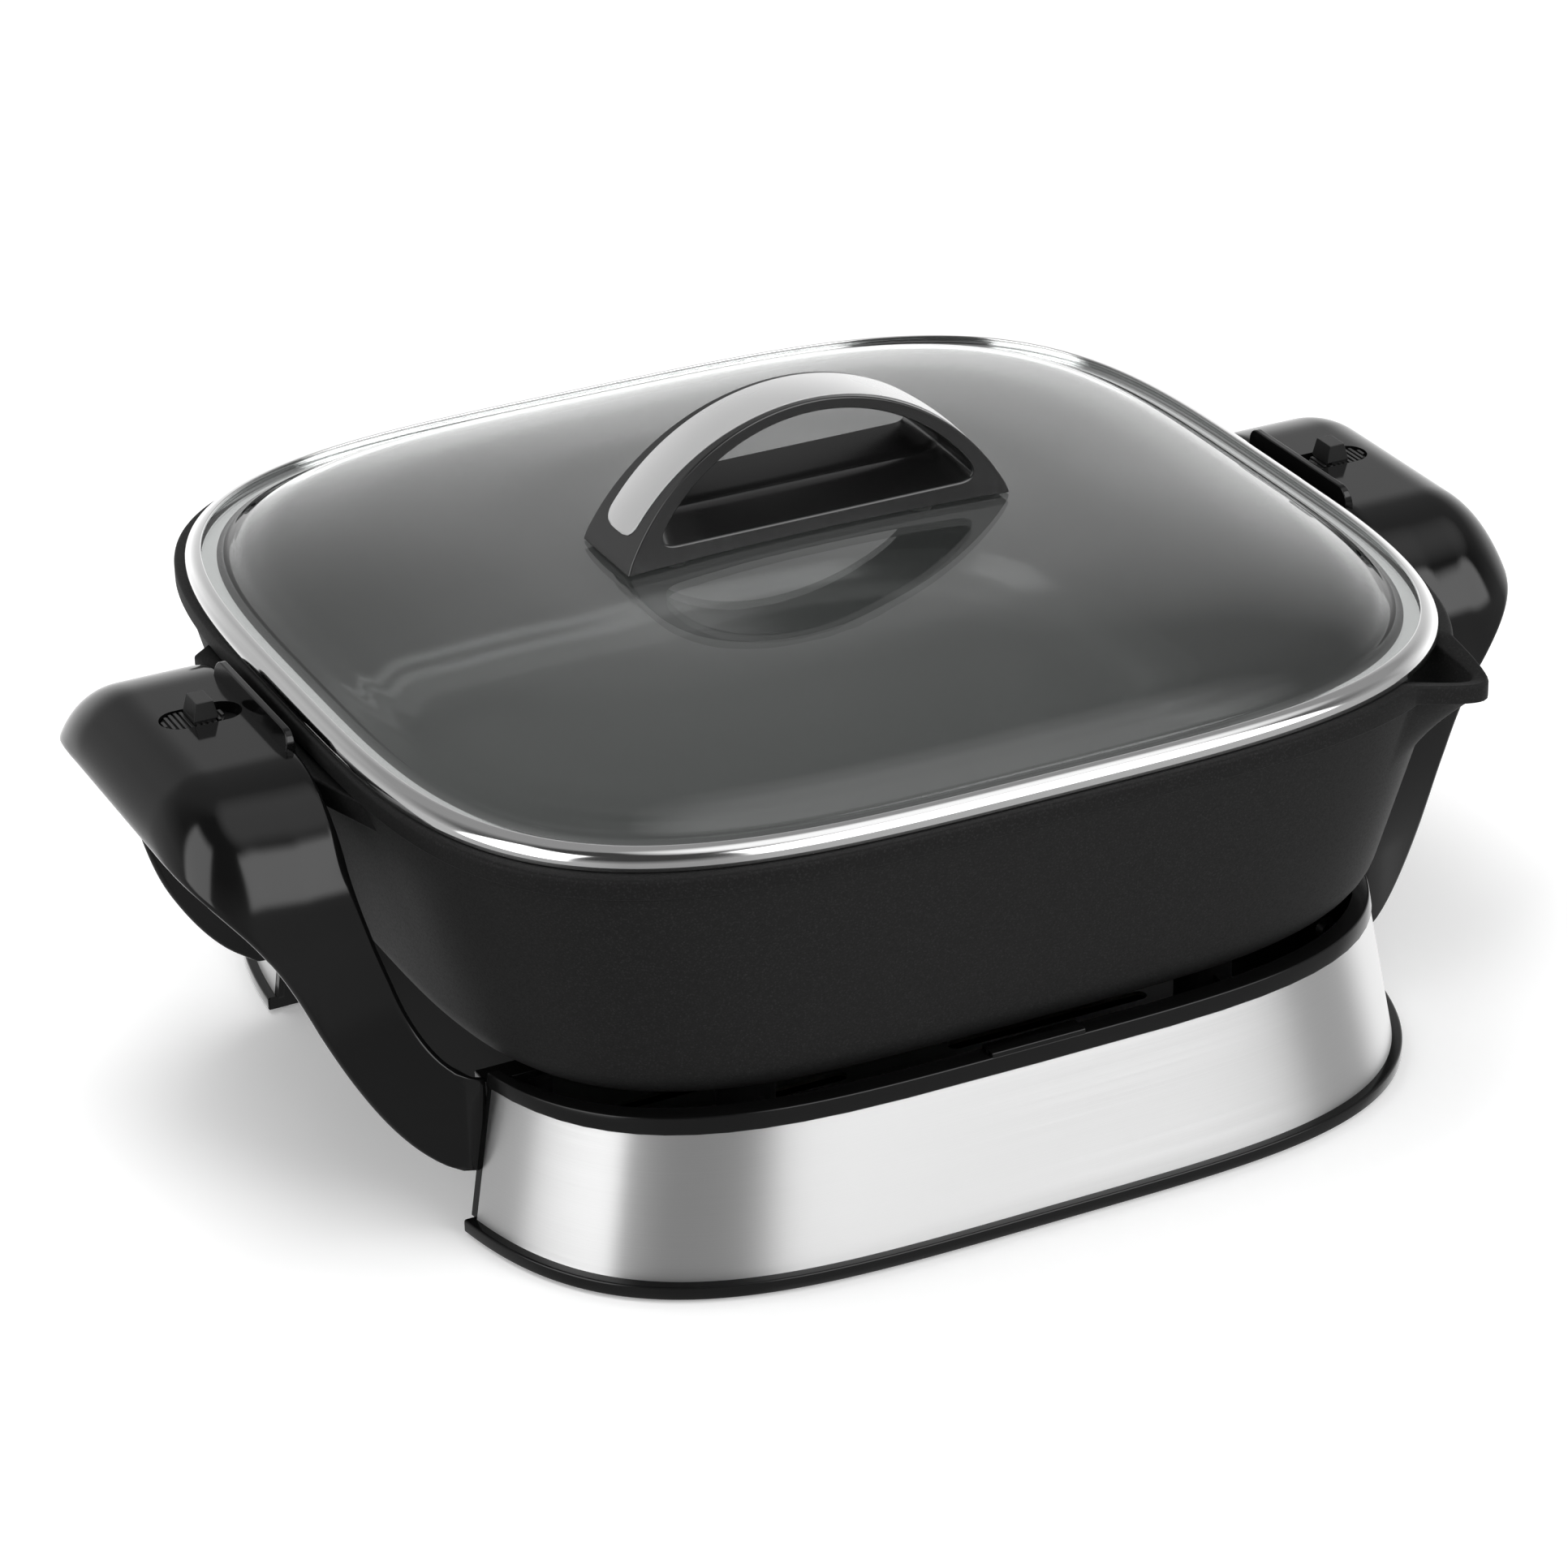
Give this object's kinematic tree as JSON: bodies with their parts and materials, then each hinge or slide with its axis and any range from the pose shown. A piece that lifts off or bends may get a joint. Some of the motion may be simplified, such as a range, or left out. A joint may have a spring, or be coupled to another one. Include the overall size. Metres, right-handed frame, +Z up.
{
  "type": "electric skillet",
  "caption": "Square electric skillet: die-cast pan with pouring spout, domed glass lid, steel-panelled base, moulded side handles and slide latches that hold the pan.",
  "frame": {"origin": "on the table under the middle of the base", "axes": "+X along the two side handles, towards the probe socket; -Y towards the front panel; +Z up"},
  "size_m": [0.4066, 0.3034, 0.187],
  "materials": {
    "base_black": "semi-gloss moulded black",
    "brushed_steel": "horizontally brushed",
    "plated_sheet": "plain plated sheet",
    "rubber": "matte",
    "screw_steel": "zinc plated",
    "handle_black": "glossy moulded black",
    "latch_black": "satin",
    "pan_coating": "speckled matte black coating on die-cast aluminium",
    "element_sheath": "oxidised sheath",
    "pin_metal": "plated pin",
    "insulator": "fired ceramic look",
    "cast_aluminium": "as cast",
    "glass": "clear tempered",
    "polished_steel": "polished",
    "grip_black": "fine satin grain",
    "inlay_silver": "satin silver"
  },
  "bodies": {
    "base": {"base_shell": "base_black", "front_panel": "brushed_steel", "rear_panel": "brushed_steel", "bottom_cover": "plated_sheet", "rubber_feet": "rubber", "support_pads": "rubber", "cover_screws": "screw_steel", "left_handle": "handle_black", "right_handle": "handle_black", "handle_screws": "screw_steel", "left_latch_retainer": "plated_sheet", "right_latch_retainer": "plated_sheet", "retainer_screws": "screw_steel"},
    "pan": {"pan": "pan_coating", "heating_element": "element_sheath", "terminal_pins": "pin_metal", "terminal_insulators": "insulator", "probe_well": "cast_aluminium", "probe_guard": "plated_sheet", "guard_screws": "screw_steel"},
    "lid": {"lid_glass": "glass", "lid_rim": "polished_steel", "lid_handle": "grip_black", "handle_inlay": "inlay_silver", "lid_screws": "screw_steel", "lid_washers": "screw_steel", "lid_gaskets": "rubber"},
    "left_latch": {"left_latch": "latch_black"},
    "right_latch": {"right_latch": "latch_black"}
  },
  "joints": [
    {"name": "pan_lift", "type": "slide", "parent": "base", "child": "pan", "axis": [0, 0, 1], "range_m": [0, 0.12]},
    {"name": "lid_lift", "type": "slide", "parent": "pan", "child": "lid", "axis": [0, 0, 1], "range_m": [0, 0.12]},
    {"name": "left_latch_slide", "type": "slide", "parent": "base", "child": "left_latch", "axis": [1, 0, 0], "range_m": [0, 0.0046]},
    {"name": "right_latch_slide", "type": "slide", "parent": "base", "child": "right_latch", "axis": [-1, 0, 0], "range_m": [0, 0.0046]}
  ]
}
